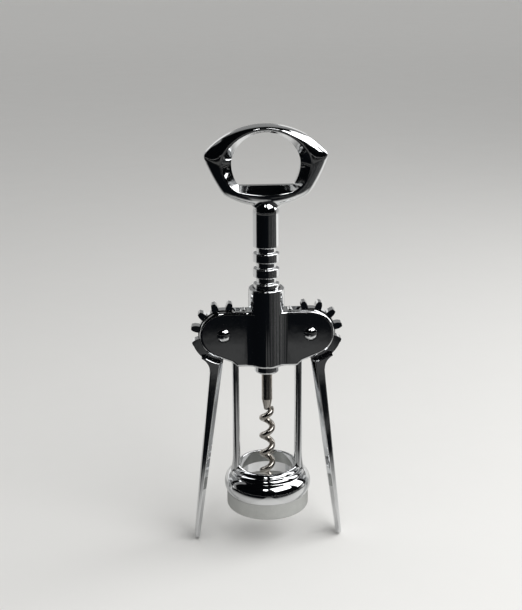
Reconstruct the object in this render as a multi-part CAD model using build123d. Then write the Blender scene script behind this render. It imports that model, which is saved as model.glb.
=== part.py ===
from build123d import *
import os
from math import acos, asin, atan2, cos, hypot, pi, radians, sin, sqrt, tan

# Double-lever corkscrew, standing upright in millimetres.
# Z runs up the worm, X runs from lever to lever, and the front faces -Y.
# The origin is the middle of the base ring's lower face.

# Base ring
BASE_R = 18.1
BASE_H = 7.3
BASE_EDGE_R = 0.9
BASE_TOP_R = 0.4
BOTTLE_R = 15.3

# Bell
BELL_R = 19.1
BELL_H = 12.3
BULGE_RISE = 3.1
THROAT_R = 12.3
RIM_W = 2.4
RIM_H = 1.75
STEP_W = 1.5
STEP_H = 1.9
RIM_BOW = 0.5
STEP_BOW = 0.35
VALLEY_R = 0.5
THROAT_EDGE_R = 0.5
NECK_DEPTH = 12.2
LEDGE_RISE = 1.6
SKIRT_T = 1.0
SKIRT_DEPTH = 4.0

# Posts between the bell and the gear housing
POST_T = 2.8
POST_W = 8.0
POST_INSET = 0.15
POST_EDGE_R = 1.1
POST_FOOT_H = 5.0
POST_FOOT_BOW = (0.3, 0.4)
WINDOW_H = 46.8

# Gear housing and guide tube
HOUSING_T = 8.4
HOUSING_END_R = 10.3
HOUSING_EDGE_R = 1.3
HOUSING_STEP = 2.1
PIVOT_RISE = 14.6
TUBE_R = 7.7
TUBE_RISE = 20.1
TUBE_LIP = 0.6
TUBE_WEB_R = 5.0

# Rack sleeve and gear sectors
RACK_PITCH = 6.6
RACK_R = 5.6
RING_STUB = 0.35
RACK_EDGE_R = 0.7
RINGS_BELOW = 2
RINGS_ABOVE = 5
SLEEVE_NECK = 1.7
SLEEVE_END_R = 5.4
SLEEVE_END_H = 3.6
SLEEVE_EDGE_R = 1.2
TEETH_PER_TURN = 12
TEETH = 8
TOOTH_T = 2.7
TOOTH_HEIGHT = 1.4
TOOTH_ROOT = 1.8
TOOTH_PHASE = 17.5
TOOTH_EDGE_R = 0.4
PRESSURE_ANGLE = 20.0
GEAR_T = 4.0

# Levers
LEVER_LENGTH = 98.2
LEVER_LEAN = 7.0
STRAP_SHIFT = 1.6
STRAP_TOP_T = 5.9
STRAP_TIP_T = 2.1
STRAP_TOP_W = 9.6
STRAP_TIP_W = 11.6
STRAP_BEVEL_TOP = 1.8
STRAP_BEVEL_TIP = 1.35
STRAP_BEVEL_DEPTH = 2.6
STRAP_EDGE_R = 0.7
STRAP_RIDGE_R = 0.6
STRAP_END_R = 0.4
STRAP_GAP = 2.2
SECTOR_R = 13.8
SECTOR_END = 262.0
FLARE_START = 226.0
FLARE_DROP = 16.0
FLARE_HOLLOW = 1.0

# Rivets
RIVET_R = 1.9
RIVET_HEAD_R = 2.95
RIVET_HEAD_H = 1.4
RIVET_SEAT = 0.3

# Spindle and worm
SPINDLE_R = 2.35
SPINDLE_GRIP = 14.0
SHANK_DROP = 12.7
SHANK_NECK = 5.0
WIRE_R = 1.35
HELIX_R = 2.2
HELIX_PITCH = 8.55
HELIX_TURNS = 4.0
HELIX_STEP = 0.25
HELIX_START = 100.0
HELIX_OPENING = 0.5
TIP_TURNS = 0.4
TIP_SECTIONS = 5
TIP_R = 0.3
COLLAR_R = 3.5
COLLAR_H = 2.2

# Handle
STEM_R = 5.55
STEM_H = 18.2
STEM_EDGE_R = 0.8
STEM_DOME = 7.0
STEM_DOME_RISE = 3.4
STEM_BLEND_R = 2.0
EYE_H = 33.2
EYE_TIP = (25.7, 20.9)
EYE_TIP_R = 2.6
EYE_BEND = (17.9, 4.7)
EYE_BEND_R = 9.0
EYE_BOW = (0.7, 5.2)
EYE_EDGE_T = 3.6
EYE_EDGE_R = 0.8
BULGE_IN = 0.4
BULGE_UP = 0.66
RIDGE_T = 9.4
RIDGE_DROP = 1.2
RIDGE_TIP = (19.4, 18.6)
RIDGE_TIP_R = 9.0
RIDGE_BEND = (14.2, 6.4)
RIDGE_BEND_R = 9.0
RIDGE_BOW = (1.0, 2.8)
RIDGE_W = 0.8
RIDGE_EDGE_R = 0.5
HOLE_DROP = 3.2
HOLE_TIP = (14.2, 18.6)
HOLE_LIP = (11.4, 8.2)
HOLE_R = 8.0
HOLE_BOW = (0.9, 0.0)
LIP_R = 1.2
HOLE_EDGE_T = 2.6

# Clearances
SLIDE_GAP = 0.3
SIDE_GAP = 0.25
RUN_GAP = 0.06
PRESS_GAP = 0.02
THRUST_GAP = 0.15
BACKLASH = 0.15
TIP_GAP = 0.3
SKIRT_GAP = 0.05
NEAR = 0.01

# Heights and places that follow from the sizes above
BELL_TOP = BASE_H + BELL_H
HOUSING_Z = BELL_TOP + WINDOW_H
PIVOT_Z = HOUSING_Z + PIVOT_RISE
TUBE_TOP = PIVOT_Z + TUBE_RISE
GEAR_PITCH_R = TEETH_PER_TURN * RACK_PITCH / (2 * pi)
GEAR_TIP_R = GEAR_PITCH_R + TOOTH_HEIGHT
GEAR_ROOT_R = GEAR_PITCH_R - TOOTH_ROOT
RACK_PITCH_R = RACK_R + RING_STUB
PIVOT_X = RACK_PITCH_R + GEAR_PITCH_R
TOOTH_STEP = 360.0 / TEETH_PER_TURN
GROOVE_R = RACK_PITCH_R - TOOTH_HEIGHT - TIP_GAP
RING_Z = PIVOT_Z + GEAR_PITCH_R * radians(TOOTH_PHASE - TOOTH_STEP / 2)
RING_W = RACK_PITCH - TOOTH_T - 2 * BACKLASH
RING_CROWN_W = RING_W + 2 * RING_STUB * tan(radians(PRESSURE_ANGLE))
RING_ROOT_W = RING_W + 2 * (RACK_PITCH_R - GROOVE_R) * tan(radians(PRESSURE_ANGLE))
SLEEVE_TOP = RING_Z + RINGS_ABOVE * RACK_PITCH + RING_ROOT_W / 2 + SLEEVE_NECK
SLEEVE_BOTTOM = HOUSING_Z - SLEEVE_END_H
STEM_Z = SLEEVE_TOP + THRUST_GAP
EYE_Z = STEM_Z + STEM_H
POST_IN_R = THROAT_R + POST_INSET
POST_OUT_R = POST_IN_R + POST_T
RIM_R = THROAT_R + RIM_W
STEP_R = RIM_R + STEP_W
STEP_TOP = BELL_TOP - RIM_H
STEP_BOTTOM = STEP_TOP - STEP_H
BELL_BORE_R = BOTTLE_R + SLIDE_GAP
SKIRT_MID_R = (BELL_BORE_R + BASE_R) / 2
SHANK_END = SLEEVE_BOTTOM - SHANK_DROP
WORM_START = SHANK_END - SHANK_NECK / 2
AMPLE = 2 * (EYE_Z + EYE_H)


def face_of(*curves):
    """A flat face inside a closed chain of curves."""
    return make_face((Curve() + list(curves)).edges())


def bowed(start, end, bow):
    """A line from one point to another, or an arc with its middle pushed out by a bow."""
    middle = (start + end) / 2 + (end - start).normalized().rotate(Axis.Z, 90) * bow
    return ThreePointArc(start, middle, end) if bow else Line(start, end)


def turned(profile):
    """A solid of revolution from an outline of radius and height."""
    return revolve(Plane.XZ * profile, Axis.Z)


def front_prism(profile, depth):
    """A front-view outline given an even depth about the middle plane."""
    return extrude(Plane.XZ * profile, amount=depth / 2, both=True)


def post(radius, height, z, x=0.0, y=0.0):
    """An upright cylinder standing on a height."""
    return Pos(x, y, z) * Cylinder(radius, height, align=(Align.CENTER, Align.CENTER, Align.MIN))


def cross_pin(radius, depth, x):
    """A cylinder along Y at a pivot."""
    return Pos(x, 0, PIVOT_Z) * Rot(90, 0, 0) * Cylinder(radius, depth)


def corners_at(face, places):
    """The corners of an outline that lie on the given places."""
    return [v for v in face.vertices() if any(hypot(v.X - x, v.Y - y) < NEAR for x, y in places)]


def edges_on(solid, depth):
    """The edges that lie whole in the planes at a depth in front of and behind the middle."""
    found = []
    for edge in solid.edges():
        points = edge.positions([0, 0.5, 1])
        if all(abs(abs(p.Y) - depth) < NEAR for p in points):
            found.append(edge)
    return found


def make_base_ring():
    """Rubber ring with a groove for the skirt of the bell."""
    ring = Rectangle(BASE_R - BOTTLE_R, BASE_H, align=Align.MIN)
    ring = fillet(ring.vertices().group_by(Axis.Y)[0].sort_by(Axis.X)[-1], BASE_EDGE_R)
    ring = fillet(ring.vertices().group_by(Axis.Y)[-1].sort_by(Axis.X)[-1], BASE_TOP_R)
    groove = Rectangle(SKIRT_T + 2 * SKIRT_GAP, 2 * (SKIRT_DEPTH + SKIRT_GAP))
    ring -= Pos(SKIRT_MID_R - BOTTLE_R, BASE_H) * groove
    return turned(Pos(BOTTLE_R, 0) * ring)


def make_bell():
    """Bell with three soft waves outside, and the bottle ledge and the skirt inside."""
    skirt_in = SKIRT_MID_R - SKIRT_T / 2
    skirt_out = SKIRT_MID_R + SKIRT_T / 2
    crests = [Vector(THROAT_R, BELL_TOP), Vector(RIM_R, STEP_TOP), Vector(STEP_R, STEP_BOTTOM)]
    rim = bowed(crests[0], crests[1], RIM_BOW)
    step = bowed(crests[1], crests[2], STEP_BOW)
    bulge = ThreePointArc((STEP_R, STEP_BOTTOM), (BELL_R, BASE_H + BULGE_RISE), (BASE_R, BASE_H))
    inside = Polyline(
        (BASE_R, BASE_H),
        (skirt_out, BASE_H),
        (skirt_out, BASE_H - SKIRT_DEPTH),
        (skirt_in, BASE_H - SKIRT_DEPTH),
        (skirt_in, BASE_H),
        (BELL_BORE_R, BASE_H),
        (BELL_BORE_R, NECK_DEPTH),
        (THROAT_R, NECK_DEPTH + LEDGE_RISE),
        (THROAT_R, BELL_TOP),
    )
    profile = face_of(rim, step, bulge, inside)
    profile = fillet(corners_at(profile, [(THROAT_R, BELL_TOP)]), THROAT_EDGE_R)
    return turned(fillet(corners_at(profile, [(RIM_R, STEP_TOP), (STEP_R, STEP_BOTTOM)]), VALLEY_R))


def make_posts():
    """Two curved straps that rise from the rim, with flared feet."""
    low = STEP_TOP
    high = HOUSING_Z + HOUSING_STEP + HOUSING_EDGE_R
    ring = post(POST_OUT_R, high - low, low) - post(POST_IN_R, high - low, low)
    straps = ring & Box(AMPLE, POST_W, AMPLE)
    straps = fillet(straps.edges().filter_by(Axis.Z), POST_EDGE_R)
    foot_top = BELL_TOP + POST_FOOT_H
    buried = POST_OUT_R - POST_T / 2
    root = (BASE_R, BASE_H + BULGE_RISE)
    middle = (POST_OUT_R + POST_FOOT_BOW[0], BELL_TOP + POST_FOOT_BOW[1])
    flare = ThreePointArc((POST_OUT_R, foot_top), middle, root)
    back = Polyline(root, (buried, STEP_BOTTOM), (buried, foot_top), (POST_OUT_R, foot_top))
    feet = turned(face_of(flare, back)) & Box(AMPLE, POST_W - 2 * POST_EDGE_R, AMPLE)
    return straps + feet


def housing_front():
    """Front view of the gear housing: two round ends on a stepped floor."""
    corner = (POST_OUT_R, HOUSING_Z + HOUSING_STEP)
    reach = hypot(corner[0] - PIVOT_X, corner[1] - PIVOT_Z)
    turn = atan2(corner[1] - PIVOT_Z, corner[0] - PIVOT_X) + acos(HOUSING_END_R / reach)
    tangent = (PIVOT_X + HOUSING_END_R * cos(turn), PIVOT_Z + HOUSING_END_R * sin(turn))
    top = PIVOT_Z + HOUSING_END_R
    end = ThreePointArc((PIVOT_X, top), (PIVOT_X + HOUSING_END_R, PIVOT_Z), tangent)
    floor = [(corner[0] - HOUSING_STEP, HOUSING_Z), (0, HOUSING_Z)]
    edge = Polyline(tangent, corner, *floor, (0, top), (PIVOT_X, top))
    half = face_of(end, edge)
    return half + mirror(half, Plane.YZ)


def housing_section():
    """Plan view of the gear housing: the tube blends into flat plates."""
    plate = HOUSING_T / 2
    web_y = plate + TUBE_WEB_R
    web_x = sqrt((TUBE_R + TUBE_WEB_R) ** 2 - web_y**2)
    meet = Vector(web_x, web_y) * (TUBE_R / (TUBE_R + TUBE_WEB_R))
    lean = atan2(web_y, web_x)
    middle = (pi / 2 + lean) / 2
    crown = ThreePointArc((0, TUBE_R), (TUBE_R * cos(middle), TUBE_R * sin(middle)), meet)
    half_turn = (pi / 2 - lean) / 2
    hollow = (web_x - TUBE_WEB_R * sin(half_turn), web_y - TUBE_WEB_R * cos(half_turn))
    web = ThreePointArc(meet, hollow, (web_x, plate))
    end = PIVOT_X + 2 * HOUSING_END_R
    rest = Polyline((web_x, plate), (end, plate), (end, 0), (0, 0), (0, TUBE_R))
    quarter = face_of(crown, web, rest)
    half = quarter + mirror(quarter, Plane.YZ)
    return half + mirror(half, Plane.XZ)


def make_frame():
    """One casting: guide tube, gear housing, posts and bell."""
    housing = extrude(housing_section(), amount=AMPLE) & front_prism(housing_front(), AMPLE)
    rims = [e for e in edges_on(housing, HOUSING_T / 2) if 1 - abs(e.tangent_at(0.5).Z) > NEAR]
    rims += housing.edges().group_by(Axis.Z)[0].filter_by(GeomType.CIRCLE)
    housing = fillet(rims, HOUSING_EDGE_R)
    tube = post(TUBE_R, TUBE_TOP - PIVOT_Z, PIVOT_Z)
    tube = fillet(tube.edges().group_by(Axis.Z)[-1], TUBE_LIP)
    frame = housing + tube + make_posts() + make_bell()
    bore_r = RACK_R + SLIDE_GAP
    frame -= post(bore_r, TUBE_TOP, HOUSING_Z - PIVOT_RISE)
    for x in (-PIVOT_X, PIVOT_X):
        frame -= cross_pin(GEAR_TIP_R + SLIDE_GAP, GEAR_T + 2 * SIDE_GAP, x)
        frame -= cross_pin(RIVET_R + PRESS_GAP, AMPLE, x)
        for y in (-HOUSING_T / 2, HOUSING_T / 2):
            frame -= Pos(0, y, 0) * cross_pin(RIVET_HEAD_R + SLIDE_GAP, 2 * RIVET_SEAT, x)
    return frame


def make_rivet(x):
    """Pivot pin with a domed head at each end."""
    seat = HOUSING_T / 2 - RIVET_SEAT
    dome_r = (RIVET_HEAD_R**2 + RIVET_HEAD_H**2) / (2 * RIVET_HEAD_H)
    lean = asin(RIVET_HEAD_R / dome_r) / 2
    crown = seat + RIVET_HEAD_H
    middle = (dome_r * sin(lean), crown - dome_r * (1 - cos(lean)))
    half = face_of(
        ThreePointArc((0, crown), middle, (RIVET_HEAD_R, seat)),
        Polyline((RIVET_HEAD_R, seat), (RIVET_R, seat), (RIVET_R, 0), (0, 0), (0, crown)),
    )
    rivet = turned(half)
    rivet += mirror(rivet, Plane.XY)
    return Pos(x, 0, PIVOT_Z) * Rot(90, 0, 0) * rivet


def tooth_half_angle(radius):
    """Half the angle that an involute tooth takes up at a radius."""
    base_r = GEAR_PITCH_R * cos(radians(PRESSURE_ANGLE))
    at_pitch = radians(PRESSURE_ANGLE)
    here = acos(min(1.0, base_r / radius))
    return TOOTH_T / (2 * GEAR_PITCH_R) + tan(at_pitch) - at_pitch - tan(here) + here


def tooth_face():
    """One gear tooth that points along +X, rooted inside the sector."""
    base_r = GEAR_PITCH_R * cos(radians(PRESSURE_ANGLE))
    steps = [base_r + (GEAR_TIP_R - base_r) * k / 3 for k in range(4)]
    flank = [(r * cos(tooth_half_angle(r)), r * sin(tooth_half_angle(r))) for r in steps]
    other = [(x, -y) for x, y in flank]
    root = GEAR_ROOT_R - TOOTH_ROOT / 2
    tooth = face_of(
        Spline(*flank),
        ThreePointArc(flank[-1], (GEAR_TIP_R, 0), other[-1]),
        Spline(*other),
        Polyline(other[0], (root, other[0][1]), (root, flank[0][1]), flank[0]),
    )
    return fillet(corners_at(tooth, [flank[-1], other[-1]]), TOOTH_EDGE_R)


def make_sector():
    """Front view of the lever's head about its pivot: teeth, then a plain rim."""
    sector = Circle(GEAR_ROOT_R)
    for k in range(TEETH):
        angle = TOOTH_PHASE + (k - 1) * TOOTH_STEP
        sector += Rot(0, 0, 180 - angle) * tooth_face()
    first = TOOTH_PHASE + (TEETH - 2) * TOOTH_STEP
    turns = [radians(180 - a) for a in (first, (first + SECTOR_END) / 2, SECTOR_END)]
    rim = [(SECTOR_R * cos(a), SECTOR_R * sin(a)) for a in turns]
    return sector + face_of(ThreePointArc(*rim), Polyline(rim[2], (0, 0), rim[0]))


def make_flare():
    """Front view of the hollow curve from the plain rim into the strap's outer edge."""
    turn = radians(180 - FLARE_START)
    high = Vector(SECTOR_R * cos(turn), SECTOR_R * sin(turn))
    middle_x = STRAP_SHIFT + FLARE_DROP * tan(radians(LEVER_LEAN))
    half_t = STRAP_TOP_T / 2 - (STRAP_TOP_T - STRAP_TIP_T) / 2 * FLARE_DROP / LEVER_LENGTH
    low = Vector(middle_x + half_t, -FLARE_DROP)
    hollow = (high + low) / 2 + (low - high).normalized().rotate(Axis.Z, -90) * FLARE_HOLLOW
    back = Polyline(low, (middle_x, -FLARE_DROP), (middle_x, high.Y), high)
    return face_of(ThreePointArc(high, hollow, low), back)


def leaned(solid):
    """A solid that hangs from the pivot, turned to the lean of the strap."""
    return Pos(STRAP_SHIFT, 0, 0) * Rot(0, -LEVER_LEAN, 0) * solid


def strap_sides():
    """The room between the front and back faces of the strap, as wide as needed."""
    top = STRAP_TOP_W / 2
    tip = STRAP_TIP_W / 2
    side = Polyline((-top, 0), (top, 0), (tip, -LEVER_LENGTH), (-tip, -LEVER_LENGTH), close=True)
    return extrude(Plane.YZ * face_of(side), amount=LEVER_LENGTH, both=True)


def strap_section(thick, wide, bevel):
    """Section of the strap: rounded outer edges, and bevels on the inner side."""
    outer = thick / 2
    ridge = bevel - outer
    edge = wide / 2
    half = [(outer, edge), (ridge, edge), (-outer, edge - STRAP_BEVEL_DEPTH)]
    section = face_of(Polyline(*half, *[(x, -y) for x, y in reversed(half)], close=True))
    flat = thick - bevel
    section = fillet(corners_at(section, [(outer, edge), (outer, -edge)]), min(STRAP_EDGE_R, flat / 2))
    return fillet(corners_at(section, [(ridge, edge), (ridge, -edge)]), min(STRAP_RIDGE_R, flat / 2))


def make_strap():
    """Tapered strap with a rounded end, and the flare that joins it to the head."""
    down = Plane((0, 0, 0), x_dir=(1, 0, 0), z_dir=(0, 0, -1))
    top = down * strap_section(STRAP_TOP_T, STRAP_TOP_W, STRAP_BEVEL_TOP)
    tip = down.offset(LEVER_LENGTH) * strap_section(STRAP_TIP_T, STRAP_TIP_W, STRAP_BEVEL_TIP)
    strap = loft([top, tip], ruled=True)
    tongue = SlotOverall(2 * LEVER_LENGTH, STRAP_TIP_W, rotation=90)
    strap &= extrude(Plane.YZ * tongue, amount=STRAP_TOP_T, both=True)
    return leaned(strap) + (front_prism(make_flare(), AMPLE) & leaned(strap_sides()))


def edges_at_cut(solid, radius):
    """The edges that lie whole at a radius from the right-hand pivot."""
    found = []
    for edge in solid.edges():
        points = edge.positions([0, 0.5, 1])
        if all(abs(hypot(p.X - PIVOT_X, p.Z - PIVOT_Z) - radius) < NEAR for p in points):
            found.append(edge)
    return found


def make_lever():
    """Right-hand lever: a toothed head in the slot and a strap below it."""
    head = front_prism(make_sector(), GEAR_T)
    strap = make_strap()
    core = strap & Box(AMPLE, GEAR_T, AMPLE)
    pivot = Pos(PIVOT_X, 0, PIVOT_Z)
    reach = HOUSING_END_R + STRAP_GAP
    clear = pivot * strap - cross_pin(reach, AMPLE, PIVOT_X)
    clear = fillet(edges_at_cut(clear, reach), STRAP_END_R)
    lever = pivot * (head + core) + clear
    return lever - cross_pin(RIVET_R + RUN_GAP, AMPLE, PIVOT_X)


def make_rack_sleeve():
    """Round rack: rings on a sleeve, bored for the spindle and the collar."""
    bore_r = SPINDLE_R + RUN_GAP
    points = [(bore_r, SLEEVE_BOTTOM), (SLEEVE_END_R, SLEEVE_BOTTOM)]
    lowest = RING_Z - RINGS_BELOW * RACK_PITCH
    points.append((SLEEVE_END_R, lowest - RING_ROOT_W / 2))
    crowns = []
    for k in range(RINGS_BELOW + RINGS_ABOVE + 1):
        z = lowest + k * RACK_PITCH
        points.append((GROOVE_R, z - RING_ROOT_W / 2))
        crowns += [(RACK_R, z - RING_CROWN_W / 2), (RACK_R, z + RING_CROWN_W / 2)]
        points += crowns[-2:]
        points.append((GROOVE_R, z + RING_ROOT_W / 2))
    points += [(GROOVE_R, SLEEVE_TOP), (bore_r, SLEEVE_TOP)]
    profile = face_of(Polyline(*points, close=True))
    profile = fillet(corners_at(profile, [(SLEEVE_END_R, SLEEVE_BOTTOM)]), SLEEVE_EDGE_R)
    sleeve = turned(fillet(corners_at(profile, crowns), RACK_EDGE_R))
    return sleeve - post(COLLAR_R + SLIDE_GAP, COLLAR_H + 2 * THRUST_GAP, SLEEVE_BOTTOM)


def make_end_collar():
    """Collar crimped on the spindle inside the lower end of the sleeve."""
    z = SLEEVE_BOTTOM + THRUST_GAP
    collar = post(COLLAR_R, COLLAR_H, z)
    return collar - post(SPINDLE_R + PRESS_GAP, COLLAR_H, z)


def helix_point(turn):
    """A point on the wire's centre line, counted in turns below the shank."""
    spread = HELIX_R * sqrt(min(1.0, turn / HELIX_OPENING))
    angle = radians(HELIX_START) - 2 * pi * turn
    return Vector(spread * cos(angle), spread * sin(angle), WORM_START - HELIX_PITCH * turn)


def helix_direction(turn):
    """Unit direction of the wire, going down the helix."""
    step = 0.001
    return (helix_point(turn + step) - helix_point(turn - step)).normalized()


def biarc(start, start_dir, end, end_dir):
    """Two tangent arcs from one point and direction to another."""
    span = end - start
    both = start_dir + end_dir
    bend = 2 * (1 - start_dir.dot(end_dir))
    along = span.dot(both)
    reach = (sqrt(along**2 + bend * span.dot(span)) - along) / bend
    middle = (start + end + (start_dir - end_dir) * reach) / 2
    middle_dir = (end - end_dir * reach - start - start_dir * reach).normalized()
    return [TangentArc(start, middle, tangent=start_dir), TangentArc(middle, end, tangent=middle_dir)]


def wire_section(turn, radius):
    """Round section of the wire, square to the helix."""
    outward = Vector(helix_point(turn).X, helix_point(turn).Y)
    return Plane(helix_point(turn), x_dir=outward, z_dir=helix_direction(turn)) * Circle(radius)


def make_worm():
    """Steel spindle that runs on as a pointed wire helix."""
    top = STEM_Z + SPINDLE_GRIP
    neck = Polyline(
        (0, top),
        (SPINDLE_R, top),
        (SPINDLE_R, SHANK_END),
        (WIRE_R, SHANK_END - SHANK_NECK),
        (0, SHANK_END - SHANK_NECK),
        close=True,
    )
    steps = int(HELIX_TURNS / HELIX_STEP)
    turns = [k * HELIX_STEP for k in range(1, steps + 1)]
    arcs = []
    for a, b in zip(turns, turns[1:]):
        arcs += biarc(helix_point(a), helix_direction(a), helix_point(b), helix_direction(b))
    wire = sweep(wire_section(turns[0], WIRE_R), path=Wire(arcs))
    last = turns[-1]
    taper = [k / TIP_SECTIONS for k in range(TIP_SECTIONS + 1)]
    point = loft([wire_section(last + TIP_TURNS * t, WIRE_R + (TIP_R - WIRE_R) * t) for t in taper])
    return turned(face_of(neck)) + wire + point


def between(first, last, share):
    """A value, or a set of values, part of the way from one to another."""
    if isinstance(first, tuple):
        return tuple(between(a, b, share) for a, b in zip(first, last))
    return first + (last - first) * share


def eye_face(top, tip, bend, bow, tip_r, bend_r):
    """Eye-shaped outline of the handle, measured from the top of the stem."""
    right = [Vector(x, EYE_Z + h) for x, h in (tip, bend)]
    left = [Vector(-p.X, p.Y) for p in right]
    crown = ThreePointArc(left[0], (0, EYE_Z + top), right[0])
    corners = right + left[::-1]
    bows = (bow[0], bow[1], bow[0])
    lower = [bowed(a, b, out) for a, b, out in zip(corners, corners[1:], bows)]
    face = face_of(crown, *lower)
    face = fillet(corners_at(face, [(p.X, p.Y) for p in (left[0], right[0])]), tip_r)
    return fillet(corners_at(face, [(p.X, p.Y) for p in (left[1], right[1])]), bend_r)


def make_eye():
    """Eye of the handle: a convex bevel up to a ridge, and a scoop down to the hole."""
    rim = (EYE_H, EYE_TIP, EYE_BEND, EYE_BOW, EYE_TIP_R, EYE_BEND_R)
    crest = (EYE_H - RIDGE_DROP, RIDGE_TIP, RIDGE_BEND, RIDGE_BOW, RIDGE_TIP_R, RIDGE_BEND_R)
    inside = (
        EYE_H - RIDGE_DROP - RIDGE_W,
        (RIDGE_TIP[0] - RIDGE_W, RIDGE_TIP[1]),
        (RIDGE_BEND[0] - RIDGE_W, RIDGE_BEND[1] + RIDGE_W / 2),
        (RIDGE_BOW[0], RIDGE_BOW[1] - RIDGE_W / 2),
        RIDGE_TIP_R,
        RIDGE_BEND_R,
    )
    hole = eye_face(EYE_H - HOLE_DROP, HOLE_TIP, HOLE_LIP, HOLE_BOW, HOLE_R, LIP_R)
    bulge_t = between(EYE_EDGE_T, RIDGE_T, BULGE_UP)
    bevel = [
        Plane.XZ.offset(EYE_EDGE_T / 2) * eye_face(*rim),
        Plane.XZ.offset(bulge_t / 2) * eye_face(*between(rim, crest, BULGE_IN)),
        Plane.XZ.offset(RIDGE_T / 2) * eye_face(*crest),
    ]
    slope = loft(bevel)
    hole_plane = Plane.XZ.offset(HOLE_EDGE_T / 2)
    scoop = loft([hole_plane * hole, Plane.XZ.offset(RIDGE_T / 2) * eye_face(*inside)], ruled=True)
    eye = front_prism(eye_face(*rim), EYE_EDGE_T) + slope + mirror(slope, Plane.XZ)
    eye = eye - front_prism(hole, HOLE_EDGE_T) - scoop - mirror(scoop, Plane.XZ)
    eye = fillet(edges_on(eye, EYE_EDGE_T / 2), EYE_EDGE_R)
    return fillet(edges_on(eye, RIDGE_T / 2), RIDGE_EDGE_R)


def edges_on_dome(solid, shoulder):
    """The edges that lie whole on the stem's dome, above its shoulder."""
    found = []
    for edge in solid.edges():
        points = edge.positions([0, 0.5, 1])
        off = [hypot(hypot(p.X, p.Y) / STEM_R, (p.Z - shoulder) / STEM_DOME) - 1 for p in points]
        if all(p.Z > shoulder + NEAR for p in points) and all(abs(d) < NEAR / STEM_R for d in off):
            found.append(edge)
    return found


def make_handle():
    """Turning handle: an eye with a cap-lifter lip, on a round stem with a domed top."""
    shoulder = EYE_Z + STEM_DOME_RISE - STEM_DOME
    stem = post(STEM_R, shoulder - STEM_Z, STEM_Z)
    stem = fillet(stem.edges().group_by(Axis.Z)[0], STEM_EDGE_R)
    dome = face_of(
        Polyline((STEM_R, shoulder), (0, shoulder), (0, shoulder + STEM_DOME)),
        EllipticalCenterArc((0, shoulder), STEM_R, STEM_DOME, start_angle=0, arc_size=90),
    )
    handle = make_eye() + stem + turned(dome)
    handle = fillet(edges_on_dome(handle, shoulder), STEM_BLEND_R)
    return handle - post(SPINDLE_R + PRESS_GAP, SPINDLE_GRIP, STEM_Z)


right_lever = make_lever()
parts = {
    "frame": make_frame(),
    "base_ring": make_base_ring(),
    "left_rivet": make_rivet(-PIVOT_X),
    "right_rivet": make_rivet(PIVOT_X),
    "left_lever": mirror(right_lever, Plane.YZ),
    "right_lever": right_lever,
    "rack_sleeve": make_rack_sleeve(),
    "end_collar": make_end_collar(),
    "worm": make_worm(),
    "handle": make_handle(),
}

os.makedirs("parts", exist_ok=True)
for name, solid in parts.items():
    export_step(solid, f"parts/{name}.step")
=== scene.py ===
from math import cos, radians, sin

import bmesh
import bpy
from bpy.props import FloatProperty, FloatVectorProperty, PointerProperty
from bpy.types import Operator, Panel, PropertyGroup
from mathutils import Matrix, Vector


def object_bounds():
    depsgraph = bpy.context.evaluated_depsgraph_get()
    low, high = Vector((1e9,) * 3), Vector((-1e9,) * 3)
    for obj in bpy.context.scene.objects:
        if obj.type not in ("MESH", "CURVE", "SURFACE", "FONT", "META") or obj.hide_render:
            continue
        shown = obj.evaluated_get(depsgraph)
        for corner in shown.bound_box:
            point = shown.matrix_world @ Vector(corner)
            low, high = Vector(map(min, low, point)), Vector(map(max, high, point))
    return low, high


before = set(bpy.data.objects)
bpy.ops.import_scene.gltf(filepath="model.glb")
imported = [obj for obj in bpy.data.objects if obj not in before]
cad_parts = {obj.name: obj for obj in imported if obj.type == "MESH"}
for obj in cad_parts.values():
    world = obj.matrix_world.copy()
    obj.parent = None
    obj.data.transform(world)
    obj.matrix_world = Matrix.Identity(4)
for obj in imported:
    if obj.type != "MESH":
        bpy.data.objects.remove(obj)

bl_info = {
    "name": "Double-lever corkscrew finish",
    "version": (1, 0, 0),
    "blender": (4, 5, 0),
    "location": "3D View > Sidebar > Corkscrew",
    "description": "Gives a double-lever corkscrew its plating, steel and rubber, and a small studio",
    "category": "Object",
}

CAD_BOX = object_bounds()
LOWEST = CAD_BOX[0][2]
PHOTO_SIZE = (522, 610)
SENSOR_MM = 36.0


# Property groups


class PlatingLook(PropertyGroup):
    """Bright plate over the castings."""

    tint: FloatVectorProperty(
        name="Tint", description="Colour of the clean plate", subtype="COLOR", size=3, min=0, max=1,
        default=(0.80, 0.81, 0.82),
    )
    dull: FloatVectorProperty(
        name="Dull tint", description="Colour where the plate is thin or fingered", subtype="COLOR", size=3,
        min=0, max=1, default=(0.70, 0.70, 0.70),
    )
    roughness: FloatProperty(
        name="Roughness", description="Roughness of the best polished spots", subtype="FACTOR", min=0, max=1,
        default=0.045,
    )
    haze: FloatProperty(
        name="Haze", description="Roughness that broad smears add", subtype="FACTOR", min=0, max=1,
        default=0.05,
    )
    ripple: FloatProperty(
        name="Ripple", description="Depth of the casting's ripple under the plate", unit="LENGTH",
        subtype="DISTANCE", min=0, max=0.001, default=0.00004,
    )


class SteelLook(PropertyGroup):
    """Nickelled steel wire of the worm."""

    tint: FloatVectorProperty(
        name="Tint", description="Colour of the clean wire", subtype="COLOR", size=3, min=0, max=1,
        default=(0.56, 0.53, 0.49),
    )
    dull: FloatVectorProperty(
        name="Dull tint", description="Colour in the drawing lines", subtype="COLOR", size=3, min=0, max=1,
        default=(0.36, 0.33, 0.29),
    )
    roughness: FloatProperty(
        name="Roughness", description="Roughness of the smooth wire", subtype="FACTOR", min=0, max=1,
        default=0.13,
    )


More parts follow.
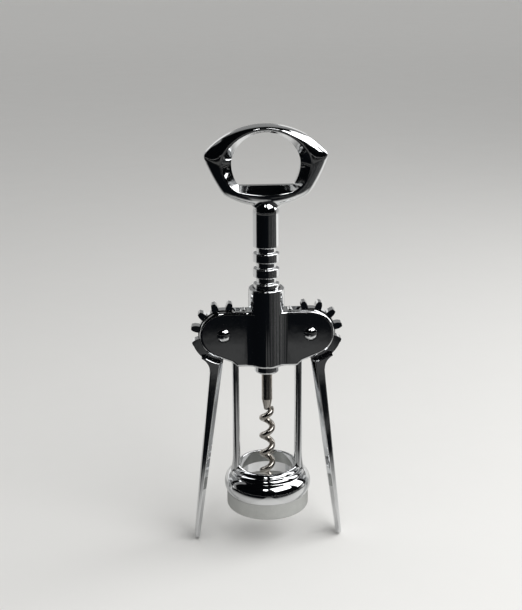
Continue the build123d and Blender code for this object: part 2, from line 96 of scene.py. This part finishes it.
class RubberLook(PropertyGroup):
    """Pale rubber of the base ring."""

    tint: FloatVectorProperty(
        name="Tint", description="Colour of the rubber", subtype="COLOR", size=3, min=0, max=1,
        default=(0.35, 0.355, 0.34),
    )
    bloom: FloatVectorProperty(
        name="Bloom", description="Colour of the chalky bloom on it", subtype="COLOR", size=3, min=0, max=1,
        default=(0.43, 0.435, 0.42),
    )
    grain: FloatProperty(
        name="Grain", description="Depth of the moulded grain", unit="LENGTH", subtype="DISTANCE",
        min=0, max=0.001, default=0.00003,
    )


class StageLook(PropertyGroup):
    """Floor, cloths, lamps and camera around the object."""

    floor: FloatVectorProperty(
        name="Floor", description="Colour of the floor", subtype="COLOR", size=3, min=0, max=1,
        default=(0.80, 0.795, 0.775),
    )
    sky: FloatVectorProperty(
        name="Surround", description="Colour of the pale surround", subtype="COLOR", size=3, min=0, max=1,
        default=(0.86, 0.86, 0.85),
    )
    ambient: FloatProperty(
        name="Ambient", description="Strength of the surround as a light", min=0, max=4, default=0.5,
    )
    key_watts: FloatProperty(
        name="Key", description="Power of the wide softbox at the upper right", unit="POWER", min=0, max=50,
        default=3.1,
    )
    key_size: FloatVectorProperty(
        name="Key size", description="Width and height of the wide softbox", subtype="XYZ", unit="LENGTH",
        size=2, min=0.05, max=2, default=(0.64, 0.42),
    )
    side_watts: FloatProperty(
        name="Side", description="Power of the tall softbox at the right", unit="POWER", min=0, max=50,
        default=2.6,
    )
    side_size: FloatVectorProperty(
        name="Side size", description="Width and height of the tall softbox", subtype="XYZ", unit="LENGTH",
        size=2, min=0.05, max=2, default=(0.46, 0.76),
    )
    left_watts: FloatProperty(
        name="Left", description="Power of the dim softbox at the left", unit="POWER", min=0, max=50,
        default=0.08,
    )
    left_size: FloatVectorProperty(
        name="Left size", description="Width and height of the dim softbox", subtype="XYZ", unit="LENGTH",
        size=2, min=0.05, max=2, default=(0.25, 0.50),
    )
    pane_watts: FloatProperty(
        name="Pane", description="Power of the small softbox above the camera", unit="POWER", min=0, max=50,
        default=0.30,
    )
    pane_size: FloatVectorProperty(
        name="Pane size", description="Width and height of the small softbox", subtype="XYZ", unit="LENGTH",
        size=2, min=0.01, max=2, default=(0.12, 0.14),
    )
    target: FloatVectorProperty(
        name="Camera target", description="Point that the camera looks at", subtype="XYZ", unit="LENGTH",
        size=3, default=(0.0, 0.0, 0.093),
    )
    distance: FloatProperty(
        name="Camera distance", description="From the target to the camera", unit="LENGTH",
        subtype="DISTANCE", min=0.05, max=5, default=0.4902,
    )
    yaw: FloatProperty(
        name="Camera yaw", description="Turn of the camera to the right of the front", unit="ROTATION",
        subtype="ANGLE", default=radians(-3.40),
    )
    rise: FloatProperty(
        name="Camera rise", description="Height of the camera above the level", unit="ROTATION",
        subtype="ANGLE", default=radians(18.07),
    )
    roll: FloatProperty(
        name="Camera roll", description="Tilt of the picture", unit="ROTATION", subtype="ANGLE",
        default=radians(-0.33),
    )
    focal_px: FloatProperty(
        name="Focal length", description="Focal length in pixels of the picture", min=10, default=1150.0,
    )
    shift_px: FloatProperty(
        name="Side shift", description="Sideways shift of the picture in pixels", default=5.5,
    )


# Node helpers


def new_material(name):
    """A fresh node material, its node tree and its shader."""
    material = bpy.data.materials.new(name)
    material.use_nodes = True
    tree = material.node_tree
    tree.nodes.clear()
    out = tree.nodes.new("ShaderNodeOutputMaterial")
    shader = tree.nodes.new("ShaderNodeBsdfPrincipled")
    tree.links.new(shader.outputs["BSDF"], out.inputs["Surface"])
    return material, tree, shader


def feed(tree, target, value):
    """Links an output to an input, or sets the input to a plain value."""
    if isinstance(value, bpy.types.NodeSocket):
        tree.links.new(value, target)
    else:
        target.default_value = value


def place(tree, stretch=(1.0, 1.0, 1.0), shift=(0.0, 0.0, 0.0)):
    """Coordinates fixed to the object, in metres, stretched per axis and then shifted."""
    coords = tree.nodes.new("ShaderNodeTexCoord")
    mapping = tree.nodes.new("ShaderNodeMapping")
    tree.links.new(coords.outputs["Object"], mapping.inputs["Vector"])
    mapping.inputs["Scale"].default_value = stretch
    mapping.inputs["Location"].default_value = shift
    return mapping.outputs["Vector"]


def noise(tree, where, scale, detail=3.0, rough=0.5):
    """Soft noise with features about one part in scale of a metre across."""
    node = tree.nodes.new("ShaderNodeTexNoise")
    tree.links.new(where, node.inputs["Vector"])
    node.inputs["Scale"].default_value = scale
    node.inputs["Detail"].default_value = detail
    node.inputs["Roughness"].default_value = rough
    return node.outputs["Fac"]


def line_noise(tree, value, scale):
    """Soft noise along one value."""
    node = tree.nodes.new("ShaderNodeTexNoise")
    node.noise_dimensions = "1D"
    tree.links.new(value, node.inputs["W"])
    node.inputs["Scale"].default_value = scale
    node.inputs["Detail"].default_value = 2.0
    return node.outputs["Fac"]


def spread(tree, value, low, high, out_low, out_high):
    """A value mapped from one range to another, clamped."""
    node = tree.nodes.new("ShaderNodeMapRange")
    feed(tree, node.inputs["Value"], value)
    for name, number in zip(("From Min", "From Max", "To Min", "To Max"), (low, high, out_low, out_high)):
        node.inputs[name].default_value = number
    return node.outputs["Result"]


def maths(tree, kind, first, second):
    """One arithmetic step on two values."""
    node = tree.nodes.new("ShaderNodeMath")
    node.operation = kind
    feed(tree, node.inputs[0], first)
    feed(tree, node.inputs[1], second)
    return node.outputs["Value"]


def blend_colour(tree, factor, first, second):
    """A mix of two colours by a factor."""
    node = tree.nodes.new("ShaderNodeMix")
    node.data_type = "RGBA"
    feed(tree, node.inputs["Factor"], factor)
    for socket in node.inputs:
        if socket.type == "RGBA" and socket.name in "AB":
            socket.default_value = (*(first if socket.name == "A" else second), 1)
    return next(s for s in node.outputs if s.type == "RGBA")


def bump(tree, height, depth, strength=1.0, under=None):
    """A normal bent by a height, with a depth in metres."""
    node = tree.nodes.new("ShaderNodeBump")
    node.inputs["Strength"].default_value = strength
    node.inputs["Distance"].default_value = depth
    tree.links.new(height, node.inputs["Height"])
    if under is not None:
        tree.links.new(under, node.inputs["Normal"])
    return node.outputs["Normal"]


# Finishes, with noise scales per metre

SMEAR_SCALE = 55.0
POLISH_SCALE = 2600.0
PIT_SCALE = 3200.0
RIPPLE_SCALE = 210.0
UPRIGHT_LINES = (1.0, 1.0, 0.05)
ROUND_LINES = (0.03, 0.03, 1.0)
NO_LINES = (1.0, 1.0, 1.0)
DRAWN_LINES = (1.0, 1.0, 0.08)
DRAWN_SCALE = 2400.0
DRAWN_DEPTH = 0.00001
DRAWN_ROUGH = 0.14
FLECK_SCALE = 120.0
CLOUD_SCALE = 140.0
GRAIN_SCALE = 2600.0


def plated_metal(name, look, grain=UPRIGHT_LINES, extra_rough=0.0):
    """Bright plate with fingered haze, fine polishing lines and a slight ripple of the casting."""
    material, tree, shader = new_material(name)
    here = place(tree)
    smear = noise(tree, here, SMEAR_SCALE, 4.0, 0.6)
    lines = noise(tree, place(tree, grain), POLISH_SCALE, 2.0, 0.5)
    pits = noise(tree, here, PIT_SCALE, 1.0, 0.4)
    haze = spread(tree, smear, 0.42, 0.75, 0.0, look.haze)
    fine = spread(tree, lines, 0.45, 0.8, 0.0, look.haze * 0.6)
    rough = maths(tree, "ADD", maths(tree, "ADD", haze, fine), look.roughness + extra_rough)
    fingered = spread(tree, smear, 0.55, 0.8, 0.0, 0.5)
    dirt = maths(tree, "MAXIMUM", fingered, spread(tree, pits, 0.70, 0.76, 0.0, 0.6))
    shader.inputs["Metallic"].default_value = 1.0
    feed(tree, shader.inputs["Base Color"], blend_colour(tree, dirt, look.tint, look.dull))
    feed(tree, shader.inputs["Roughness"], rough)
    ripple = bump(tree, noise(tree, here, RIPPLE_SCALE, 2.0, 0.4), look.ripple, 0.5)
    feed(tree, shader.inputs["Normal"], bump(tree, lines, look.ripple * 0.05, 0.4, ripple))
    return material


def turned_metal(name, look):
    """Plate over turned steel, with fine rings round the axis."""
    return plated_metal(name, look, ROUND_LINES, 0.02)


def drawn_steel(name, look):
    """Nickelled wire with drawing lines and darker flecks."""
    material, tree, shader = new_material(name)
    here = place(tree)
    lines = noise(tree, place(tree, DRAWN_LINES), DRAWN_SCALE, 3.0, 0.6)
    flecks = noise(tree, here, FLECK_SCALE, 3.0, 0.5)
    dark_lines = spread(tree, lines, 0.35, 0.75, 0.2, 1.0)
    wear = maths(tree, "MULTIPLY", dark_lines, spread(tree, flecks, 0.3, 0.7, 0.3, 1.0))
    shader.inputs["Metallic"].default_value = 1.0
    feed(tree, shader.inputs["Base Color"], blend_colour(tree, wear, look.tint, look.dull))
    rough = spread(tree, lines, 0.3, 0.8, look.roughness, look.roughness + DRAWN_ROUGH)
    feed(tree, shader.inputs["Roughness"], rough)
    feed(tree, shader.inputs["Normal"], bump(tree, lines, DRAWN_DEPTH, 0.6))
    return material


def moulded_rubber(name, look):
    """Matte rubber with a fine moulded grain and a chalky bloom."""
    material, tree, shader = new_material(name)
    here = place(tree)
    cloud = noise(tree, here, CLOUD_SCALE, 4.0, 0.6)
    grain = noise(tree, here, GRAIN_SCALE, 3.0, 0.6)
    chalk = spread(tree, cloud, 0.3, 0.7, 0.0, 0.7)
    shade = maths(tree, "ADD", chalk, spread(tree, grain, 0.4, 0.8, 0.0, 0.4))
    feed(tree, shader.inputs["Base Color"], blend_colour(tree, shade, look.tint, look.bloom))
    feed(tree, shader.inputs["Roughness"], spread(tree, cloud, 0.3, 0.7, 0.62, 0.8))
    shader.inputs["Specular IOR Level"].default_value = 0.35
    feed(tree, shader.inputs["Normal"], bump(tree, grain, look.grain, 0.7))
    return material


def dress(nodes, material):
    """Puts one finish on whole CAD pieces."""
    for node in nodes:
        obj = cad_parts[node]
        if not obj.material_slots:
            raise RuntimeError(f"{node} has no material slot")
        for slot in obj.material_slots:
            slot.material = material


# Pieces


class CORKSCREW_OT_frame(Operator):
    """Plate the one-piece frame: guide tube, gear housing, posts and bell"""

    bl_idname = "corkscrew.frame"
    bl_label = "Plate the frame"

    def execute(self, context):
        dress(["frame"], plated_metal("frame_plate", context.scene.corkscrew_plating))
        return {"FINISHED"}


class CORKSCREW_OT_levers(Operator):
    """Plate both toothed levers"""

    bl_idname = "corkscrew.levers"
    bl_label = "Plate the levers"

    def execute(self, context):
        dress(["left_lever", "right_lever"], plated_metal("lever_plate", context.scene.corkscrew_plating))
        return {"FINISHED"}


class CORKSCREW_OT_handle(Operator):
    """Plate the turning handle"""

    bl_idname = "corkscrew.handle"
    bl_label = "Plate the handle"

    def execute(self, context):
        dress(["handle"], plated_metal("handle_plate", context.scene.corkscrew_plating))
        return {"FINISHED"}


class CORKSCREW_OT_rack(Operator):
    """Finish the round rack with turning rings"""

    bl_idname = "corkscrew.rack"
    bl_label = "Finish the rack"

    def execute(self, context):
        dress(["rack_sleeve"], turned_metal("rack_plate", context.scene.corkscrew_plating))
        return {"FINISHED"}


class CORKSCREW_OT_rivets(Operator):
    """Finish the domed rivets at the lever pivots"""

    bl_idname = "corkscrew.rivets"
    bl_label = "Finish the rivets"

    def execute(self, context):
        look = context.scene.corkscrew_plating
        dress(["left_rivet", "right_rivet"], plated_metal("rivet_plate", look, NO_LINES, 0.03))
        return {"FINISHED"}


class CORKSCREW_OT_worm(Operator):
    """Finish the worm, its spindle and the collar on it"""

    bl_idname = "corkscrew.worm"
    bl_label = "Finish the worm"

    def execute(self, context):
        dress(["worm", "end_collar"], drawn_steel("worm_wire", context.scene.corkscrew_steel))
        return {"FINISHED"}


class CORKSCREW_OT_base_ring(Operator):
    """Mould the rubber base ring"""

    bl_idname = "corkscrew.base_ring"
    bl_label = "Mould the base ring"

    def execute(self, context):
        dress(["base_ring"], moulded_rubber("base_rubber", context.scene.corkscrew_rubber))
        return {"FINISHED"}


# Stage, in metres: each stop is a distance and the share of cloth, or of clearness, there

ROUND_SEGMENTS = 96
FLOOR_R = 30.0
FLOOR_DROP = 0.0002
FLOOR_SHADE = 0.97
MOTTLE_SCALE = 30.0
SHEET_LIFT = 0.0008
DOME_R = 2.4
DOME_LEAN = 5.0
DOME_REAR = (0.45, 0.75)
DOME_REAR_CLEAR = 0.3
DOME_LOWEST = 0.001
CLOTH_COLOUR = (0.003, 0.0036, 0.0046, 1)
CLOTH_ROUGH = 0.9
SHEET_REACH = 1.5
FLAT = (1.0, 1.0, 0.0)
NEAR_STOPS = ((0.0, 0.1), (0.03, 0.2), (0.055, 0.35), (0.095, 1.0))
NEAR_STRETCH = (0.55, 1.0, 0.0)
NEAR_SHIFT = (-0.02, 0.0, 0.0)
FRONT_END = (0.02, 0.13)
PATCH_STOPS = ((0.0, 0.0), (0.203, 0.0), (0.220, 1.0), (0.255, 1.0), (0.290, 0.0))
PATCH_MIDDLE = 0.0135
PATCH_SIDES = (0.010, 0.014, 0.042, 0.052)
PATCH_CLEAR = 0.06
FAR_STOPS = ((0.0, 0.0), (0.82, 0.0), (0.92, 1.0), (1.15, 1.0), (1.35, 0.0))
FAR_CLEAR = 0.14
PATH_STOPS = ((0.0, 1.0), (0.13, 1.0), (0.20, 0.0))
PATH_SIDES = (0.015, 0.021)
PATH_CLEAR = 0.35
REAR_STOPS = ((0.0, 1.0), (0.06, 1.0), (0.14, 0.0))
REAR_PLACE = (0.0, 0.33)
SLIT_TURNS = (radians(16), radians(112))
SLIT_CLEAR = 0.25
SLIT_SCALE = 16.0
SLIT_BAND = (0.46, 0.64)
SLIT_START = 0.3
KEY_TURN = radians(43)
KEY_RISE = radians(42)
SIDE_TURN = radians(100)
SIDE_RISE = radians(34)
LEFT_TURN = radians(-108)
LEFT_RISE = radians(32)
PANE_TURN = radians(-10)
PANE_RISE = radians(43)
LAMP_DISTANCE = 0.75


def stage_mesh(name, work, material):
    """A staged object made from an edit mesh."""
    mesh = bpy.data.meshes.new(name)
    work.to_mesh(mesh)
    work.free()
    obj = bpy.data.objects.new(name, mesh)
    bpy.context.scene.collection.objects.link(obj)
    mesh.materials.append(material)
    return obj


def only_in_reflections(obj):
    """Leaves an object for mirror rays alone, so that it stays out of the picture."""
    obj.visible_camera = False
    obj.visible_diffuse = False
    obj.visible_transmission = False
    obj.visible_volume_scatter = False
    obj.visible_shadow = False


def floor_material(look):
    """Pale paper floor with a faint mottle."""
    material, tree, shader = new_material("floor_paper")
    mottle = noise(tree, place(tree), MOTTLE_SCALE, 4.0, 0.6)
    darker = [part * FLOOR_SHADE for part in look.floor]
    feed(tree, shader.inputs["Base Color"], blend_colour(tree, mottle, look.floor, darker))
    feed(tree, shader.inputs["Roughness"], spread(tree, mottle, 0.3, 0.7, 0.7, 0.8))
    shader.inputs["Specular IOR Level"].default_value = 0.2
    return material


def distance_fade(tree, stops, stretch=FLAT, shift=(0.0, 0.0, 0.0)):
    """A value set by the distance from the sheet's own middle, or from a point beside it."""
    length = tree.nodes.new("ShaderNodeVectorMath")
    length.operation = "LENGTH"
    tree.links.new(place(tree, stretch, shift), length.inputs[0])
    ramp = tree.nodes.new("ShaderNodeValToRGB")
    tree.links.new(spread(tree, length.outputs["Value"], 0.0, SHEET_REACH, 0.0, 1.0), ramp.inputs["Fac"])
    marks = ramp.color_ramp.elements
    while len(marks) < len(stops):
        marks.new(1.0)
    for mark, (distance, thick) in zip(marks, stops):
        mark.position = distance / SHEET_REACH
        mark.color = (thick, thick, thick, 1)
    return ramp.outputs["Color"]


def slit_clearness(tree, turn):
    """Clear slits at the right of the front sheet, clearer to the side."""
    streak = spread(tree, line_noise(tree, turn, SLIT_SCALE), *SLIT_BAND, 0.0, SLIT_CLEAR)
    first, last = SLIT_TURNS
    after = maths(tree, "GREATER_THAN", turn, first)
    before = maths(tree, "LESS_THAN", turn, last)
    window = maths(tree, "MULTIPLY", after, before)
    growth = spread(tree, turn, first, last, SLIT_START, 1.0)
    return maths(tree, "MULTIPLY", streak, maths(tree, "MULTIPLY", window, growth))


def patch_clearness(tree, across):
    """Two faintly clear patches, one for each side of the gear housing."""
    off = maths(tree, "ABSOLUTE", maths(tree, "SUBTRACT", across, PATCH_MIDDLE), 0.0)
    rise = spread(tree, off, PATCH_SIDES[0], PATCH_SIDES[1], 0.0, PATCH_CLEAR)
    fall = spread(tree, off, PATCH_SIDES[2], PATCH_SIDES[3], 1.0, 0.0)
    ring = distance_fade(tree, PATCH_STOPS)
    return maths(tree, "MULTIPLY", ring, maths(tree, "MULTIPLY", rise, fall))


def path_clearness(tree, across):
    """A half-clear path in front of the object."""
    off = maths(tree, "ABSOLUTE", across, 0.0)
    inside = spread(tree, off, *PATH_SIDES, PATH_CLEAR, 0.0)
    return maths(tree, "MULTIPLY", distance_fade(tree, PATH_STOPS), inside)


def front_thickness(tree):
    """Thickness of the front sheet: thin near the object, none behind it and less in the clear places."""
    axes = tree.nodes.new("ShaderNodeSeparateXYZ")
    tree.links.new(place(tree), axes.inputs["Vector"])
    across = axes.outputs["X"]
    turn = maths(tree, "ARCTAN2", across, maths(tree, "MULTIPLY", axes.outputs["Y"], -1.0))
    far = maths(tree, "MULTIPLY", distance_fade(tree, FAR_STOPS), FAR_CLEAR)
    clear = maths(tree, "MAXIMUM", slit_clearness(tree, turn), patch_clearness(tree, across))
    clear = maths(tree, "MAXIMUM", clear, maths(tree, "MAXIMUM", path_clearness(tree, across), far))
    front = spread(tree, axes.outputs["Y"], *FRONT_END, 1.0, 0.0)
    near = distance_fade(tree, NEAR_STOPS, NEAR_STRETCH, NEAR_SHIFT)
    return maths(tree, "MULTIPLY", maths(tree, "MULTIPLY", near, front), maths(tree, "SUBTRACT", 1.0, clear))


def dome_thickness(tree):
    """Thickness of the dome: whole in front and above, thinner low at the rear."""
    axes = tree.nodes.new("ShaderNodeSeparateXYZ")
    tree.links.new(place(tree), axes.inputs["Vector"])
    height = maths(tree, "MAXIMUM", axes.outputs["Z"], DOME_LOWEST)
    slope = maths(tree, "DIVIDE", axes.outputs["Y"], height)
    return spread(tree, slope, *DOME_REAR, 1.0, 1.0 - DOME_REAR_CLEAR)


def rear_thickness(tree):
    """Thickness of the rear sheet: a soft round patch."""
    return distance_fade(tree, REAR_STOPS)


def cloth_material(name, thickness):
    """Dark cloth that lets light through where its thickness falls."""
    material, tree, shader = new_material(name)
    shader.inputs["Base Color"].default_value = CLOTH_COLOUR
    shader.inputs["Roughness"].default_value = CLOTH_ROUGH
    shader.inputs["Specular IOR Level"].default_value = 0.0
    clear = tree.nodes.new("ShaderNodeBsdfTransparent")
    mix = tree.nodes.new("ShaderNodeMixShader")
    tree.links.new(thickness(tree), mix.inputs["Fac"])
    tree.links.new(clear.outputs["BSDF"], mix.inputs[1])
    tree.links.new(shader.outputs["BSDF"], mix.inputs[2])
    out = next(n for n in tree.nodes if n.type == "OUTPUT_MATERIAL")
    tree.links.new(mix.outputs["Shader"], out.inputs["Surface"])
    return material


def lay_floor(look):
    """A wide round floor under the lowest point of the object."""
    work = bmesh.new()
    bmesh.ops.create_circle(work, cap_ends=True, segments=ROUND_SEGMENTS, radius=FLOOR_R)
    bmesh.ops.translate(work, verts=work.verts, vec=(0, 0, LOWEST - FLOOR_DROP))
    stage_mesh("floor", work, floor_material(look))


def hang_dome():
    """Dark dome in front of and above the object."""
    work = bmesh.new()
    bmesh.ops.create_uvsphere(work, u_segments=ROUND_SEGMENTS, v_segments=ROUND_SEGMENTS // 2, radius=DOME_R)
    lean = Vector((0, -1, DOME_LEAN))
    middles = {face: face.calc_center_median() for face in work.faces}
    outside = [face for face, middle in middles.items() if middle.dot(lean) < 0 or middle.z < LOWEST]
    bmesh.ops.delete(work, geom=outside, context="FACES")
    only_in_reflections(stage_mesh("dome", work, cloth_material("dome_cloth", dome_thickness)))


def lay_sheet(name, material, centre, radius):
    """A round sheet just above the floor."""
    work = bmesh.new()
    bmesh.ops.create_circle(work, cap_ends=True, segments=ROUND_SEGMENTS, radius=radius)
    sheet = stage_mesh(name, work, material)
    sheet.location = (*centre, LOWEST + SHEET_LIFT)
    only_in_reflections(sheet)


def hang_softbox(name, turn, rise, watts, size, aim):
    """A softbox turned to the object, placed by its turn to the right of the front and its height."""
    light = bpy.data.lights.new(name, "AREA")
    light.shape = "RECTANGLE"
    light.size, light.size_y = size
    light.energy = watts
    obj = bpy.data.objects.new(name, light)
    bpy.context.scene.collection.objects.link(obj)
    way = Vector((sin(turn) * cos(rise), -cos(turn) * cos(rise), sin(rise)))
    obj.location = Vector(aim) + way * LAMP_DISTANCE
    obj.rotation_euler = way.to_track_quat("Z", "Y").to_euler()
    obj.visible_camera = False


def set_world(look):
    """Pale surround, seen by the camera and by mirror and glass rays, with a plain level as a light."""
    world = bpy.data.worlds.new("surround")
    bpy.context.scene.world = world
    world.use_nodes = True
    tree = world.node_tree
    tree.nodes.clear()
    path = tree.nodes.new("ShaderNodeLightPath")
    seen = maths(tree, "MAXIMUM", path.outputs["Is Camera Ray"], path.outputs["Is Glossy Ray"])
    seen = maths(tree, "MAXIMUM", seen, path.outputs["Is Transmission Ray"])
    lamp = tree.nodes.new("ShaderNodeBackground")
    lamp.inputs["Color"].default_value = (1, 1, 1, 1)
    lamp.inputs["Strength"].default_value = look.ambient
    view = tree.nodes.new("ShaderNodeBackground")
    view.inputs["Color"].default_value = (*look.sky, 1)
    view.inputs["Strength"].default_value = 1.0
    mix = tree.nodes.new("ShaderNodeMixShader")
    out = tree.nodes.new("ShaderNodeOutputWorld")
    tree.links.new(seen, mix.inputs["Fac"])
    tree.links.new(lamp.outputs["Background"], mix.inputs[1])
    tree.links.new(view.outputs["Background"], mix.inputs[2])
    tree.links.new(mix.outputs["Shader"], out.inputs["Surface"])


def set_camera(look):
    """A camera at the picture's own angle, with depth of field off."""
    camera = bpy.data.cameras.new("camera")
    long_side = max(PHOTO_SIZE)
    camera.sensor_width = SENSOR_MM
    camera.sensor_fit = "AUTO"
    camera.lens = SENSOR_MM * look.focal_px / long_side
    camera.shift_x = -look.shift_px / long_side
    camera.clip_start = 0.01
    camera.clip_end = 100.0
    back = Vector((sin(look.yaw) * cos(look.rise), -cos(look.yaw) * cos(look.rise), sin(look.rise)))
    right = Vector((0, 0, 1)).cross(back).normalized()
    up = back.cross(right)
    turned_right = right * cos(look.roll) + up * sin(look.roll)
    turned_up = back.cross(turned_right)
    obj = bpy.data.objects.new("camera", camera)
    bpy.context.scene.collection.objects.link(obj)
    axes = Matrix((turned_right, turned_up, back)).transposed().to_4x4()
    obj.matrix_world = Matrix.Translation(Vector(look.target) + back * look.distance) @ axes
    bpy.context.scene.camera = obj


class CORKSCREW_OT_stage(Operator):
    """Lay the floor, hang the cloths and softboxes, and set the camera"""

    bl_idname = "corkscrew.stage"
    bl_label = "Set the stage"

    def execute(self, context):
        look = context.scene.corkscrew_stage
        lay_floor(look)
        hang_dome()
        lay_sheet("front_sheet", cloth_material("front_cloth", front_thickness), (0.0, 0.0), DOME_R)
        lay_sheet("rear_sheet", cloth_material("rear_cloth", rear_thickness), REAR_PLACE, REAR_STOPS[-1][0])
        hang_softbox("key_softbox", KEY_TURN, KEY_RISE, look.key_watts, look.key_size, look.target)
        hang_softbox("side_softbox", SIDE_TURN, SIDE_RISE, look.side_watts, look.side_size, look.target)
        hang_softbox("left_softbox", LEFT_TURN, LEFT_RISE, look.left_watts, look.left_size, look.target)
        hang_softbox("pane_softbox", PANE_TURN, PANE_RISE, look.pane_watts, look.pane_size, look.target)
        set_world(look)
        set_camera(look)
        context.scene.view_settings.view_transform = "Standard"
        return {"FINISHED"}


PIECES = (
    CORKSCREW_OT_frame,
    CORKSCREW_OT_levers,
    CORKSCREW_OT_handle,
    CORKSCREW_OT_rack,
    CORKSCREW_OT_rivets,
    CORKSCREW_OT_worm,
    CORKSCREW_OT_base_ring,
    CORKSCREW_OT_stage,
)


class CORKSCREW_PT_bench(Panel):
    """Sizes, colours and steps of the corkscrew's finish"""

    bl_label = "Corkscrew"
    bl_idname = "CORKSCREW_PT_bench"
    bl_space_type = "VIEW_3D"
    bl_region_type = "UI"
    bl_category = "Corkscrew"

    def draw(self, context):
        for group in LOOKS:
            box = self.layout.box()
            box.label(text=group.replace("_", " ").capitalize())
            look = getattr(context.scene, group)
            for name in look.__annotations__:
                box.prop(look, name)
        for piece in PIECES:
            self.layout.operator(piece.bl_idname)


LOOKS = {
    "corkscrew_plating": PlatingLook,
    "corkscrew_steel": SteelLook,
    "corkscrew_rubber": RubberLook,
    "corkscrew_stage": StageLook,
}


def register():
    """Registers the property groups, the operators and the panel."""
    for name, group in LOOKS.items():
        bpy.utils.register_class(group)
        setattr(bpy.types.Scene, name, PointerProperty(type=group))
    for piece in PIECES:
        bpy.utils.register_class(piece)
    bpy.utils.register_class(CORKSCREW_PT_bench)


def unregister():
    """Takes the panel, the operators and the property groups away again."""
    bpy.utils.unregister_class(CORKSCREW_PT_bench)
    for piece in reversed(PIECES):
        bpy.utils.unregister_class(piece)
    for name, group in reversed(LOOKS.items()):
        delattr(bpy.types.Scene, name)
        bpy.utils.unregister_class(group)


def main():
    """Runs every step in order."""
    register()
    bpy.ops.corkscrew.frame()
    bpy.ops.corkscrew.levers()
    bpy.ops.corkscrew.handle()
    bpy.ops.corkscrew.rack()
    bpy.ops.corkscrew.rivets()
    bpy.ops.corkscrew.worm()
    bpy.ops.corkscrew.base_ring()
    bpy.ops.corkscrew.stage()


if __name__ == "__main__":
    main()
